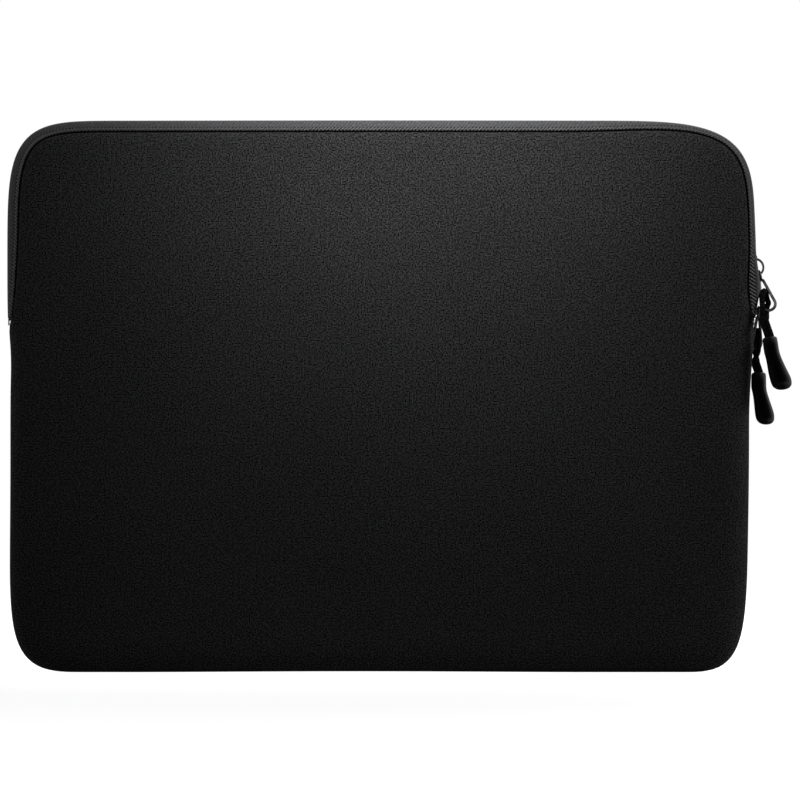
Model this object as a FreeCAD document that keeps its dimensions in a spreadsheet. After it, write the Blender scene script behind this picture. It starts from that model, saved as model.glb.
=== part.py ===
import FreeCAD, Part
import math
import os
import Sketcher

# Laptop sleeve, standing on its bottom edge, with its zip round the two sides and the top.
# +Z is up, the front panel faces -Y, and the two zip sliders are parked on the +X side.
# The origin is the middle of the flat strip that the sleeve stands on. Millimetres.

V = FreeCAD.Vector
Rotation = FreeCAD.Rotation
Placement = FreeCAD.Placement

doc = FreeCAD.newDocument("laptop_sleeve")
sheet = doc.addObject("Spreadsheet::Sheet", "sizes")

SIZES = {
    # the sleeve as a whole
    "width": 352.0,
    "height": 260.0,
    "thickness": 22.0,
    "corner_top_left": 30.0,
    "corner_top_right": 38.0,
    "corner_bottom": 32.0,
    # the padded panels, which roll round to a seam on the middle plane
    "panel_tuck": 2.0,
    "edge_roll": 10.0,
    "sole_sink": 2.0,
    "shell_wall": 1.0,
    "foam_wall": 3.0,
    "lining_wall": 0.8,
    # the zip: tape, the seam behind it, and coil
    "zip_drop": 94.0,
    "tape_wall": 1.0,
    "tape_depth": 8.5,
    "tape_roll": 5.4,
    "seam_allowance": 1.0,
    "foam_clearance": 0.5,
    "binding_wall": 1.2,
    "coil_half": 3.4,
    "coil_recess": 0.2,
    "coil_wall": 1.6,
    "stop_length": 1.8,
    "stop_gap": 0.1,
    # the part of the front that folds outwards when the zip is open
    "flap_height": 38.0,
    "running_gap": 0.3,
    # the zip sliders
    "slider_standoff": 0.6,
    "slider_gap": 6.0,
    "slider_length": 11.0,
    "slider_nose": 9.6,
    "slider_tail": 7.4,
    "slider_corner": 1.9,
    "slider_front": 7.7,
    "plate_wall": 1.2,
    "plate_rounding": 0.35,
    "post_width": 1.6,
    "post_length": 3.4,
    "post_corner": 0.72,
    "bridge_length": 9.0,
    "bridge_height": 3.5,
    "bridge_width": 1.8,
    "bridge_wall": 0.9,
    "bridge_foot": 1.2,
    # the wire rings
    "wire": 1.4,
    "neck_wire": 1.1,
    "neck_radius": 2.3,
    "neck_standoff": 0.85,
    "ring_reach": 14.9,
    "ring_radius": 3.4,
    "ring_tip_radius": 1.0,
    # the cords and the moulded grips
    "cord": 2.0,
    "cord_clearance": 0.2,
    "cord_lay": 1.0,
    "hitch_rise": 5.6,
    "hitch_drop": 4.2,
    "bend_gap": 1.0,
    "grip_half_top": 3.5,
    "grip_waist": 8.2,
    "grip_length": 24.4,
    "grip_depth": 6.4,
    "grip_rounding": 2.2,
    "grip_corner": 2.4,
    "grip_bend": 5.3,
    "hollow_rim": 1.5,
    "hollow_depth": 0.5,
    "toe_inner": 1.1,
    "toe_outer": 8.0,
    "toe_radius": 3.6,
}

for row, (name, number) in enumerate(SIZES.items(), 1):
    sheet.set(f"A{row}", name)
    sheet.set(f"B{row}", str(number))
    sheet.setAlias(f"B{row}", name)
doc.recompute()


def size(*names):
    """The sum of the named sizes; a name that starts with a minus sign is taken away."""
    return sum(-float(sheet.get(n[1:])) if n[0] == "-" else float(sheet.get(n)) for n in names)


def formula(*names):
    """The same sum, as an expression that stays bound to the sheet."""
    return "0" + "".join(f" - sizes.{n[1:]}" if n[0] == "-" else f" + sizes.{n}" for n in names)


def minus(names):
    return tuple(n[1:] if n[0] == "-" else "-" + n for n in names)


# The insets of each layer from the outline of the zip tape.
SHELL_OUT = ("panel_tuck",)
FOAM_OUT = ("panel_tuck", "shell_wall")
LINING_OUT = ("panel_tuck", "shell_wall", "foam_wall")
POCKET = ("panel_tuck", "shell_wall", "foam_wall", "lining_wall")
TAPE_OUT = ()
TAPE_IN = ("tape_wall",)
TAPE_EDGE = ("tape_roll",)
TAPE_LIP = ("tape_roll", "seam_allowance")
FOAM_EDGE = ("tape_roll", "seam_allowance", "foam_clearance")
COIL_OUT = ("coil_recess",)
COIL_IN = ("coil_recess", "coil_wall")
MARGIN = 20.0


def add(kind, name, **properties):
    thing = doc.addObject(kind, name)
    for key, content in properties.items():
        setattr(thing, key, content)
    return thing


def origin_plane(body, role):
    return next(o for o in body.Origin.OriginFeatures if o.Role == role)


def new_sketch(body, name, role, offset=0.0):
    sketch = body.newObject("Sketcher::SketchObject", name)
    sketch.AttachmentSupport = (origin_plane(body, role), [""])
    sketch.MapMode = "FlatFace"
    sketch.AttachmentOffset = Placement(V(0, 0, offset), Rotation())
    return sketch


def arc(centre, radius, start, end):
    circle = Part.Circle(V(*centre, 0), V(0, 0, 1), radius)
    return Part.ArcOfCircle(circle, math.radians(start), math.radians(end))


def line(a, b):
    return Part.LineSegment(V(*a, 0), V(*b, 0))


def draw_outline(sketch, inset):
    """The front outline, moved inwards: four sides and four corners of their own radii."""
    right = size("width") / 2 - size(*inset)
    left = -right
    top = size("height", *minus(inset))
    bottom = size(*inset, *minus(SHELL_OUT), "-sole_sink")
    corners = {
        "tr": size("corner_top_right", *minus(inset)),
        "br": size("corner_bottom", *minus(inset)),
        "bl": size("corner_bottom", *minus(inset)),
        "tl": size("corner_top_left", *minus(inset)),
    }
    tr, br, bl, tl = corners.values()
    first = sketch.GeometryCount
    sketch.addGeometry(
        [
            line((left + tl, top), (right - tr, top)),
            arc((right - tr, top - tr), tr, 0, 90),
            line((right, top - tr), (right, bottom + br)),
            arc((right - br, bottom + br), br, 270, 360),
            line((right - br, bottom), (left + bl, bottom)),
            arc((left + bl, bottom + bl), bl, 180, 270),
            line((left, bottom + bl), (left, top - tl)),
            arc((left + tl, top - tl), tl, 90, 180),
        ]
    )
    top_side, tr_arc, right_side, br_arc, bottom_side, bl_arc, left_side, tl_arc = range(first, first + 8)
    START, END = 1, 2
    origin = (-1, 1)
    rules = [
        ("Tangent", top_side, END, tr_arc, END),
        ("Tangent", tr_arc, START, right_side, START),
        ("Tangent", right_side, END, br_arc, END),
        ("Tangent", br_arc, START, bottom_side, START),
        ("Tangent", bottom_side, END, bl_arc, END),
        ("Tangent", bl_arc, START, left_side, START),
        ("Tangent", left_side, END, tl_arc, END),
        ("Tangent", tl_arc, START, top_side, START),
        ("Horizontal", top_side),
        ("Vertical", right_side),
        ("Horizontal", bottom_side),
        ("Vertical", left_side),
    ]
    for rule in rules:
        sketch.addConstraint(Sketcher.Constraint(*rule))
    half = "sizes.width / 2 - (" + formula(*inset) + ")"
    driven = [
        (("DistanceX", *origin, right_side, START, right), half),
        (("DistanceX", left_side, START, *origin, right), half),
        (("DistanceY", *origin, top_side, START, top), formula("height", *minus(inset))),
        (
            ("DistanceY", bottom_side, START, top_side, END, top - bottom),
            formula("height", *minus(inset), *minus(inset), *SHELL_OUT, "sole_sink"),
        ),
        (("Radius", tr_arc, tr), formula("corner_top_right", *minus(inset))),
        (("Radius", br_arc, br), formula("corner_bottom", *minus(inset))),
        (("Radius", bl_arc, bl), formula("corner_bottom", *minus(inset))),
        (("Radius", tl_arc, tl), formula("corner_top_left", *minus(inset))),
    ]
    for rule, bound in driven:
        index = sketch.addConstraint(Sketcher.Constraint(*rule))
        sketch.setExpression(f"Constraints[{index}]", bound)


def flat_face(shape, axis, level):
    """The name of the plane face that lies across the axis at the level."""
    for number, face in enumerate(shape.Faces, 1):
        across = abs(getattr(face.normalAt(0, 0), axis)) > 0.999
        if across and abs(getattr(face.CenterOfMass, axis) - level) < 1e-5:
            return f"Face{number}"
    raise RuntimeError(f"no face at {axis} = {level}")


def slab(name, insets, near=(), far=(), rolled=()):
    """The outline, or the ring between two outlines, from one depth in front of the middle plane to another."""
    body = doc.addObject("PartDesign::Body", name)
    sketch = new_sketch(body, name + "_sketch", "XZ_Plane")
    sketch.setExpression(".AttachmentOffset.Base.z", formula(*near))
    for inset in insets:
        draw_outline(sketch, inset)
    pad = body.newObject("PartDesign::Pad", name + "_pad")
    pad.Profile = sketch
    pad.setExpression("Length", formula(*far, *minus(near)))
    doc.recompute()
    if rolled:
        fillet = body.newObject("PartDesign::Fillet", name + "_roll")
        fillet.Base = (pad, [flat_face(pad.Shape, "y", -size(*far))])
        fillet.setExpression("Radius", formula(*rolled))
        doc.recompute()
    return body


def block(name, x, y, z):
    """A plain box between two X, two Y and two Z levels, each a number or a sum of named sizes."""
    box = doc.addObject("Part::Box", name)
    for length, axis, (low, high) in (("Length", "x", x), ("Width", "y", y), ("Height", "z", z)):
        box.setExpression(f".Placement.Base.{axis}", low)
        box.setExpression(length, f"({high}) - ({low})")
    return box


def cut(name, base, *tools):
    for count, tool in enumerate(tools, 1):
        last = count == len(tools)
        base = add("Part::Cut", name if last else f"{name}_cut_{count}", Base=base, Tool=tool)
    return base


def common(name, base, tool):
    return add("Part::Common", name, Base=base, Tool=tool)


def fuse(name, *shapes):
    return add("Part::MultiFuse", name, Shapes=list(shapes))


def mirrored(name, source):
    return add("Part::Mirroring", name, Source=source, Base=V(0, 0, 0), Normal=V(0, 1, 0))


ZIP_END = "sizes.height - sizes.zip_drop"
FLAP_LINE = "sizes.height - sizes.flap_height"
WIDE = f"sizes.width / 2 + {MARGIN}"
DEEP = f"sizes.thickness / 2 + {MARGIN}"
HIGH = f"sizes.height + {MARGIN}"
LOW = f"-{MARGIN}"
FLAP_LOW = FLAP_LINE + " + sizes.running_gap / 2"
FLAP_HIGH = FLAP_LINE + " - sizes.running_gap / 2"

# The regions that the front is divided into: below the fold, above it, and its two sides.
lower_region = block("lower_region", ("-(" + WIDE + ")", WIDE), ("-(" + DEEP + ")", DEEP), (LOW, FLAP_HIGH))
flap_region = block("flap_region", ("-(" + WIDE + ")", WIDE), ("-(" + DEEP + ")", DEEP), (FLAP_LOW, HIGH))
left_region = block("left_region", ("-(" + WIDE + ")", "0"), ("-(" + DEEP + ")", DEEP), (LOW, FLAP_HIGH))
right_region = block("right_region", ("0", WIDE), ("-(" + DEEP + ")", DEEP), (LOW, FLAP_HIGH))


def layer(name, inset):
    """One nested half of the padding: the outline inset, its edge rolled, and its bottom pressed flat."""
    body = doc.addObject("PartDesign::Body", name)
    sketch = new_sketch(body, name + "_sketch", "XZ_Plane")
    draw_outline(sketch, inset)
    walls = inset[1:]
    pad = body.newObject("PartDesign::Pad", name + "_pad")
    pad.Profile = sketch
    pad.setExpression("Length", "sizes.thickness / 2 + " + formula(*minus(walls)))
    doc.recompute()
    fillet = body.newObject("PartDesign::Fillet", name + "_roll")
    fillet.Base = (pad, [flat_face(pad.Shape, "y", -(size("thickness") / 2 - size(*walls)))])
    fillet.setExpression("Radius", formula("edge_roll", *minus(walls)))
    sole = block(name + "_sole", ("-(" + WIDE + ")", WIDE), ("-(" + DEEP + ")", DEEP), (LOW, formula(*walls)))
    return cut(name + "_block", body, sole)


shell_block = layer("shell_layer", SHELL_OUT)
foam_block = layer("foam_layer", FOAM_OUT)
lining_block = layer("lining_layer", LINING_OUT)
pocket_block = layer("pocket_layer", POCKET)

# Above the zip's ends the panel edges are cut back to the seam that joins them to the tape.
zip_band = block(
    "zip_band",
    ("-(" + WIDE + ")", WIDE),
    ("-sizes.tape_depth", f"{MARGIN}"),
    (ZIP_END, HIGH),
)
panel_core = slab("panel_core", [FOAM_EDGE], near=(), far=("thickness",))
zip_notch = cut("zip_notch", zip_band, panel_core)

panels = {}
for cloth, outer, inner in (
    ("shell", shell_block, foam_block),
    ("foam", foam_block, lining_block),
    ("lining", lining_block, pocket_block),
):
    panels[cloth] = cut(f"{cloth}_panel", outer, inner, zip_notch)

# The zip tape: a rolled band that ends in a sewn lip behind the panel's edge.
tape_outer = slab("tape_outer", [TAPE_OUT], far=("tape_depth",), rolled=("tape_roll",))
tape_inner = slab(
    "tape_inner",
    [TAPE_IN],
    far=("tape_depth", "-tape_wall"),
    rolled=("tape_roll", "-tape_wall"),
)
tape_core = slab("tape_core", [TAPE_LIP], far=("thickness",))
coil_slot = slab("coil_slot", [TAPE_OUT], far=("coil_half",))
below_zip = block("below_zip", ("-(" + WIDE + ")", WIDE), ("-(" + DEEP + ")", DEEP), (LOW, ZIP_END))
tape_band = cut("tape_band", tape_outer, tape_inner, tape_core, coil_slot, below_zip)

# The coil along the tape's edge, closed up to a thin gap, and parted where the sliders run.
coil_ring = slab("coil_ring", [COIL_OUT, COIL_IN], near=(), far=("coil_half",))
coil_gap = block(
    "coil_gap",
    ("-(" + WIDE + ")", WIDE),
    ("-sizes.running_gap / 2", "sizes.running_gap / 2"),
    (LOW, HIGH),
)
below_coil = block(
    "below_coil",
    ("-(" + WIDE + ")", WIDE),
    ("-(" + DEEP + ")", DEEP),
    (LOW, ZIP_END + " + sizes.stop_length"),
)
slider_way = block(
    "slider_way",
    ("0", WIDE),
    ("-sizes.post_width / 2 - sizes.running_gap", "sizes.post_width / 2 + sizes.running_gap"),
    (LOW, FLAP_LINE),
)
coil_band = cut("coil_band", coil_ring, coil_gap, below_coil, slider_way)

# The binding tape over the inner seam, between the lip and the cut edge of the foam.
binding_ring = slab(
    "binding_ring",
    [TAPE_EDGE, FOAM_EDGE],
    near=("tape_depth", "-tape_wall", "-binding_wall"),
    far=("tape_depth", "-tape_wall"),
)
binding_band = cut("binding_band", binding_ring, below_zip)

nodes = []


def keep(thing):
    nodes.append(thing)
    return thing


for cloth, panel in panels.items():
    keep(mirrored(f"back_{cloth}", panel))
    keep(common(f"front_{cloth}", panel, lower_region))
    keep(common(f"flap_{cloth}", panel, flap_region))

for trim, band in (("zip_tape", tape_band), ("zip_coil", coil_band), ("zip_binding", binding_band)):
    keep(mirrored(f"back_{trim}", band))
    keep(common(f"flap_{trim}", band, flap_region))
    keep(common(f"left_{trim}", band, left_region))
    keep(common(f"right_{trim}", band, right_region))

stop_ring = slab("stop_ring", [TAPE_OUT, COIL_IN], far=("coil_half",))
stop_level = block(
    "stop_level",
    ("-(" + WIDE + ")", WIDE),
    ("-(" + DEEP + ")", DEEP),
    (ZIP_END, ZIP_END + " + sizes.stop_length - sizes.stop_gap"),
)
stop_half = common("stop_half", stop_ring, stop_level)
stop_pair = fuse("stop_pair", stop_half, mirrored("stop_half_back", stop_half))
keep(common("left_zip_stop", stop_pair, left_region))
keep(common("right_zip_stop", stop_pair, right_region))


def rounded_polygon(points):
    """Lines and tangent arcs round a closed polygon; each point is (x, y, radius)."""
    edges = []
    corners = []
    for index, (x, y, radius) in enumerate(points):
        here = V(x, y, 0)
        before = (V(*points[index - 1][:2], 0) - here).normalize()
        after = (V(*points[(index + 1) % len(points)][:2], 0) - here).normalize()
        half = before.getAngle(after) / 2
        reach = radius / math.tan(half)
        bisector = (before + after).normalize()
        middle = here + bisector * (radius / math.sin(half) - radius)
        corners.append((here + before * reach, middle, here + after * reach))
    for index, (start, middle, end) in enumerate(corners):
        edges.append(Part.Arc(start, middle, end))
        edges.append(Part.LineSegment(end, corners[(index + 1) % len(corners)][0]))
    return edges


def pad_profile(body, name, role, edges, offset, length, symmetric=False):
    sketch = new_sketch(body, name + "_sketch", role)
    sketch.setExpression(".AttachmentOffset.Base.z", offset)
    sketch.addGeometry(edges)
    pad = body.newObject("PartDesign::Pad", name)
    pad.Profile = sketch
    pad.SideType = "Symmetric" if symmetric else "One side"
    pad.setExpression("Length", length)
    doc.recompute()
    return pad


SLIDER_X = "sizes.width / 2"


def slider_body(name, level, flip):
    """A slider: two plates joined by the post that parts the coils, wide at its nose."""
    body = doc.addObject("PartDesign::Body", name)
    half_length = size("slider_length") / 2
    nose = size("slider_nose") / 2
    tail = size("slider_tail") / 2
    front = size("slider_front") / 2
    corner = size("slider_corner")
    plate = [
        (-tail, -half_length, corner / 2),
        (tail, -half_length, corner / 2),
        (tail, 0, corner),
        (nose, half_length / 2, corner),
        (front, half_length, corner / 2),
        (-front, half_length, corner / 2),
        (-nose, half_length / 2, corner),
        (-tail, 0, corner),
    ]
    post_half = size("post_width") / 2
    post_corner = size("post_corner")
    post_top = half_length - size("plate_wall")
    post = [
        (-post_half, post_top - size("post_length"), post_corner),
        (post_half, post_top - size("post_length"), post_corner),
        (post_half, post_top, post_corner),
        (-post_half, post_top, post_corner),
    ]
    outer = pad_profile(
        body, name + "_outer_plate", "YZ_Plane", rounded_polygon(plate), "sizes.running_gap", "sizes.plate_wall"
    )
    rim = body.newObject("PartDesign::Fillet", name + "_rim")
    rim.Base = (outer, [flat_face(outer.Shape, "x", size("running_gap", "plate_wall"))])
    rim.setExpression("Radius", "sizes.plate_rounding")
    doc.recompute()
    inner_top = "-(sizes.coil_recess + sizes.coil_wall + sizes.running_gap)"
    pad_profile(
        body, name + "_post", "YZ_Plane", rounded_polygon(post), inner_top,
        "sizes.coil_recess + sizes.coil_wall + 2 * sizes.running_gap",
    )
    pad_profile(
        body, name + "_inner_plate", "YZ_Plane", rounded_polygon(plate),
        inner_top + " - sizes.plate_wall", "sizes.plate_wall",
    )
    body.Placement = Placement(V(size("width") / 2, 0, level), Rotation(V(1, 0, 0), 180 if flip else 0))
    return body


def bridge(name, level):
    """The arch on a slider's outer plate that the ring hangs from."""
    body = doc.addObject("PartDesign::Body", name)
    half = size("bridge_length") / 2
    inner_half = half - size("bridge_foot")
    rise = size("bridge_height")
    inner_rise = rise - size("bridge_wall")
    sketch = new_sketch(body, name + "_sketch", "XZ_Plane")
    edges = [
        Part.Arc(V(0, half, 0), V(rise, 0, 0), V(0, -half, 0)),
        Part.LineSegment(V(0, -half, 0), V(0, -inner_half, 0)),
        Part.Arc(V(0, -inner_half, 0), V(inner_rise, 0, 0), V(0, inner_half, 0)),
        Part.LineSegment(V(0, inner_half, 0), V(0, half, 0)),
    ]
    sketch.addGeometry(edges)
    pad = body.newObject("PartDesign::Pad", name + "_pad")
    pad.Profile = sketch
    pad.SideType = "Symmetric"
    pad.setExpression("Length", "sizes.bridge_width")
    doc.recompute()
    body.Placement = Placement(V(plate_top(), 0, level), Rotation())
    return body


def plate_top():
    return size("width") / 2 + size("running_gap", "plate_wall")


def teardrop_edges():
    """The ring's centre line in its own X-Z plane, its tip up: a bottom arc, two sides and a small tip arc."""
    radius = size("ring_radius")
    centre = -size("ring_reach")
    tip_radius = size("ring_tip_radius")
    tip_centre = -(size("neck_radius") + tip_radius)
    spread = math.asin((radius - tip_radius) / (tip_centre - centre))
    side = V(math.cos(spread), 0, math.sin(spread))
    across = V(-side.x, 0, side.z)
    low_right = V(0, 0, centre) + side * radius
    low_left = V(0, 0, centre) + across * radius
    tip_right = V(0, 0, tip_centre) + side * tip_radius
    tip_left = V(0, 0, tip_centre) + across * tip_radius
    return [
        Part.Arc(low_right, V(0, 0, centre - radius), low_left),
        Part.LineSegment(low_left, tip_left),
        Part.Arc(tip_left, V(0, 0, tip_centre + tip_radius), tip_right),
        Part.LineSegment(tip_right, low_right),
    ]


def wire_ring(name, place, twist):
    """A teardrop of wire, twisted from its narrow neck, which passes across under the slider's bridge."""
    path = add("Part::Feature", name + "_path")
    path.Shape = Part.Wire([edge.toShape() for edge in teardrop_edges()])
    section = add("Part::Circle", name + "_section")
    section.setExpression("Radius", "sizes.wire / 2")
    start = path.Shape.Edges[0].firstVertex().Point
    heading = path.Shape.Edges[0].tangentAt(path.Shape.Edges[0].FirstParameter)
    section.Placement = Placement(start, Rotation(V(0, 0, 1), heading))
    doc.recompute()
    loop = add(
        "Part::Sweep",
        name + "_loop",
        Sections=[section],
        Spine=(path, [f"Edge{n + 1}" for n in range(4)]),
        Solid=True,
        Frenet=True,
        Placement=Placement(V(), Rotation(V(0, 0, 1), twist)),
    )
    neck = add("Part::Torus", name + "_neck")
    neck.setExpression("Radius1", "sizes.neck_radius")
    neck.setExpression("Radius2", "sizes.neck_wire / 2")
    neck.Placement = Placement(V(0, 0, 0), Rotation(V(0, 1, 0), 90))
    doc.recompute()
    ring = fuse(name, loop, neck)
    ring.Placement = place
    return ring


def rod(name, start, end, radius):
    """A round bar between two points."""
    bar = doc.addObject("Part::Cylinder", name)
    bar.setExpression("Radius", radius)
    bar.Height = (end - start).Length
    bar.Placement = Placement(start, Rotation(V(0, 0, 1), end - start))
    return bar


def ball(name, centre, radius):
    round_end = doc.addObject("Part::Sphere", name)
    round_end.setExpression("Radius", radius)
    round_end.Placement = Placement(centre, Rotation())
    return round_end


CORD_RADIUS = "sizes.cord / 2"


def cord_hitch(name, place):
    """The bight of the doubled cord, one strand each side of the ring's bottom wire, which is its origin."""
    apart = size("wire") / 2 + size("cord_clearance") + size("cord") / 2
    offset = V(-size("cord_lay"), -apart, 0)
    top = V(0, 0, size("hitch_rise"))
    knee = V(0, 0, -size("wire") / 2)
    foot = V(0, 0, -size("hitch_drop"))
    bight = add("Part::Torus", name + "_bight")
    bight.Radius1 = offset.Length
    bight.setExpression("Radius2", CORD_RADIUS)
    bight.Angle3 = 180
    bight.Placement = Placement(top, Rotation(V(1, 0, 0), offset) * Rotation(V(1, 0, 0), 90))
    pieces = [bight]
    for side, out in (("front", offset), ("back", offset * -1)):
        joined = V(out.x, 0, 0)
        pieces.append(rod(f"{name}_{side}", knee + out, top + out, CORD_RADIUS))
        pieces.append(ball(f"{name}_{side}_knee", knee + out, CORD_RADIUS))
        pieces.append(rod(f"{name}_{side}_foot", foot + joined, knee + out, CORD_RADIUS))
    hitch = fuse(name, *pieces)
    hitch.Placement = place
    return hitch


def cord_tail(name, pivot, end, grip_place):
    """The two strands side by side, from the bend under the ring to the top face of the grip."""
    pieces = []
    for side in (-1, 1):
        start = pivot + V(side * size("cord_lay"), 0, 0)
        stop = end + V(side * size("cord_lay"), 0, 0)
        beyond = stop + (stop - start).normalize() * size("cord")
        pieces.append(rod(f"{name}_strand_{side + 2}", start, beyond, CORD_RADIUS))
        pieces.append(ball(f"{name}_end_{side + 2}", start, CORD_RADIUS))
    strands = fuse(name + "_strands", *pieces)
    above = doc.addObject("Part::Box", name + "_above")
    above.Length = above.Width = above.Height = 2 * MARGIN
    above.Placement = grip_place * Placement(V(-MARGIN, -MARGIN, 0), Rotation())
    return common(name, strands, above)


def grip_edges(inset):
    """The grip's outline, moved inwards: straight below the cord, then bent out to a round toe."""
    half = size("grip_half_top") - inset
    corner = size("grip_corner") - inset
    waist = -size("grip_waist")
    bend = waist - size("grip_bend")
    heel = inset - size("toe_inner")
    bottom = inset - size("grip_length")
    toe = size("toe_radius") - inset
    return rounded_polygon(
        [
            (-half, -inset, corner),
            (-half, waist, 2 * toe),
            (heel, bend, 2 * toe),
            (heel, bottom, toe),
            (size("toe_outer") - inset, bottom, toe),
            (half, waist, 2 * toe),
            (half, -inset, corner),
        ]
    )


def grip(name, place):
    """The moulded grip, with all its edges rounded and a shallow hollow in its front and its back."""
    body = doc.addObject("PartDesign::Body", name + "_body")
    pad = pad_profile(body, name + "_pad", "XZ_Plane", grip_edges(0), "0", "sizes.grip_depth", True)
    rounding = body.newObject("PartDesign::Fillet", name + "_rounding")
    half = size("grip_depth") / 2
    rounding.Base = (pad, [flat_face(pad.Shape, "y", -half), flat_face(pad.Shape, "y", half)])
    rounding.setExpression("Radius", "sizes.grip_rounding")
    hollow = doc.addObject("PartDesign::Body", name + "_hollow")
    pad_profile(
        hollow, name + "_hollow_pad", "XZ_Plane", grip_edges(size("hollow_rim")),
        "sizes.grip_depth / 2 - sizes.hollow_depth", "sizes.grip_depth",
    )
    moulding = cut(name, body, hollow, mirrored(name + "_back_hollow", hollow))
    moulding.Placement = place
    return moulding


def facing(down):
    """The turn that takes a hanging ring's own axes to the line it hangs along, its side kept towards +X."""
    up = V(down) * -1
    up.normalize()
    side = V(1, 0, 0) - up * up.x
    side.normalize()
    return Rotation(side, up.cross(side), up, "ZXY")


# How each pull hangs: the upper one leans outwards in front of the lower slider, the lower one hangs behind it.
LOWER_SLIDER = size("height", "-zip_drop", "stop_length", "slider_standoff") + size("slider_length") / 2
HANGERS = {
    1: {
        "level": LOWER_SLIDER + size("slider_length", "slider_gap"),
        "flip": True,
        "down": V(3.6, -5.7, -13.4),
        "twist": 0.0,
        "contact": -2.4,
        "hitch_lean": 16.0,
        "tail": V(2.4, 0, -7.2),
        "grip_lean": -8.0,
    },
    2: {
        "level": LOWER_SLIDER,
        "flip": False,
        "down": V(-0.7, 2.0, -14.7),
        "twist": 50.0,
        "contact": 0.0,
        "hitch_lean": 0.0,
        "tail": V(1.0, 0, -4.3),
        "grip_lean": 0.0,
    },
}

for number, hang in HANGERS.items():
    keep(slider_body(f"slider_{number}", hang["level"], hang["flip"]))
    keep(bridge(f"bridge_{number}", hang["level"]))
    turn = facing(hang["down"])
    lean = hang["down"].x / hang["down"].Length
    swing_level = hang["level"] - size("bridge_length") / 2 + size("bridge_foot") / 2 + size("neck_radius")
    swing = V(plate_top() + size("neck_standoff"), 0, swing_level)
    neck = swing + V(lean, 0, -1) * size("neck_radius")
    ring_place = Placement(neck, turn)
    keep(wire_ring(f"ring_{number}", ring_place, hang["twist"]))
    contact = V(
        hang["contact"], 0, -size("ring_reach") - math.sqrt(size("ring_radius") ** 2 - hang["contact"] ** 2)
    )
    twisted = ring_place * Placement(V(), Rotation(V(0, 0, 1), hang["twist"]))
    hitch_place = twisted * Placement(contact, Rotation(V(0, 1, 0), hang["hitch_lean"]))
    keep(cord_hitch(f"cord_{number}_hitch", hitch_place))
    bend = V(0, 0, -size("hitch_drop", "bend_gap") - size("cord") / 2)
    pivot = hitch_place.multVec(bend)
    grip_top = pivot + hang["tail"]
    grip_place = Placement(grip_top, Rotation(V(0, 1, 0), hang["grip_lean"]))
    keep(cord_tail(f"cord_{number}_tail", pivot, grip_top, grip_place))
    keep(grip(f"grip_{number}", grip_place))
    print(f"swing_{number} {tuple(swing)} pivot_{number} {tuple(pivot)}")

doc.recompute()

for thing in doc.Objects:
    if "Invalid" in thing.State or "Error" in thing.State:
        raise RuntimeError(f"{thing.Label} failed: {thing.State}")
for node in nodes:
    if node.Shape.isNull() or not node.Shape.isValid() or len(node.Shape.Solids) < 1:
        raise RuntimeError(f"{node.Label} has no valid shape")

os.makedirs("parts", exist_ok=True)
for node in nodes:
    node.Shape.exportStep(f"parts/{node.Label}.step")
print(len(nodes), "parts written")
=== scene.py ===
import math

import bpy
import numpy as np
from mathutils import Matrix, Vector, noise


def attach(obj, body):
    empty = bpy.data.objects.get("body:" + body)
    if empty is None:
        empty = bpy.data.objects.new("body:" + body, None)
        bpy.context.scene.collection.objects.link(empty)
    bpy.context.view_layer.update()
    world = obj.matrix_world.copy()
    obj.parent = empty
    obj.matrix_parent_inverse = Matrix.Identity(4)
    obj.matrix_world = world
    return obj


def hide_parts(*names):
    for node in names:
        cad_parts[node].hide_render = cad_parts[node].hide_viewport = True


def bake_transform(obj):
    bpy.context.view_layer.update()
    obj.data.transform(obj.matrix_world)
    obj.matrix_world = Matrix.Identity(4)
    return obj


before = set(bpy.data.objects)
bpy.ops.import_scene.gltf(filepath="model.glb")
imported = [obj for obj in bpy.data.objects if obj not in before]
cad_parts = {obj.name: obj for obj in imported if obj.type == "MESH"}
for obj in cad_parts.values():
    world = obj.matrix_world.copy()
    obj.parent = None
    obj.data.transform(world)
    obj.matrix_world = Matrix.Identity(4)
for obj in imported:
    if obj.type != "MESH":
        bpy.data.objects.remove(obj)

scene = bpy.context.scene
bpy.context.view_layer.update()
MM = 0.001

# ---- the sleeve's outline, seen from the front, in millimetres

LEFT, RIGHT, TOP, BOTTOM = -176.0, 176.2, 260.0, -0.15
CORNERS = {  # reach along X, reach along Z, squareness
    "bottom_right": (38, 87, 4.9),
    "top_right": (83, 60, 4.3),
    "top_left": (60, 74, 4.9),
    "bottom_left": (42, 68, 4.6),
}
ZIP_END = 166.0
BAND = 5.75  # the width of the zip's band, apart from its narrow stretch on the right
TAPE_LEAST = 2.6  # the tape's least width
GAP = 0.8  # the open groove between the tape's sewn edge and the panel
TAPE_SIDE, TAPE_TURN = 3.1, 5.3  # the depth where the tape's face starts, and how far it turns on from there
ACROSS, UP = 60, 44  # the panel's squares along its long and short edges
RING = 2 * (ACROSS + UP)  # the points once round a panel
FREE_RINGS = 5  # the panel's outermost rings, of which all but the first may swell
PUFF_PRESSURE, PUFF_FRAMES = 4.0, 20
PUFF_SWELL = 1.2 * MM  # the farthest that a point of the panel moves


def smooth(value):
    t = np.clip(value, 0.0, 1.0)
    return t * t * (3 - 2 * t)


def bump(value, middle, spread):
    return np.exp(-(((value - middle) / spread) ** 2))


def corner(name, side, level, out_x, out_z):
    """The points of one corner, from the side's line to the top or bottom line."""
    reach_x, reach_z, power = CORNERS[name]
    turn = np.radians(np.linspace(0, 90, 240))
    u = np.cos(turn) ** (2 / power)
    v = np.sin(turn) ** (2 / power)
    return np.stack([side - out_x * reach_x * (1 - u), level - out_z * reach_z * (1 - v)], 1)


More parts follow.
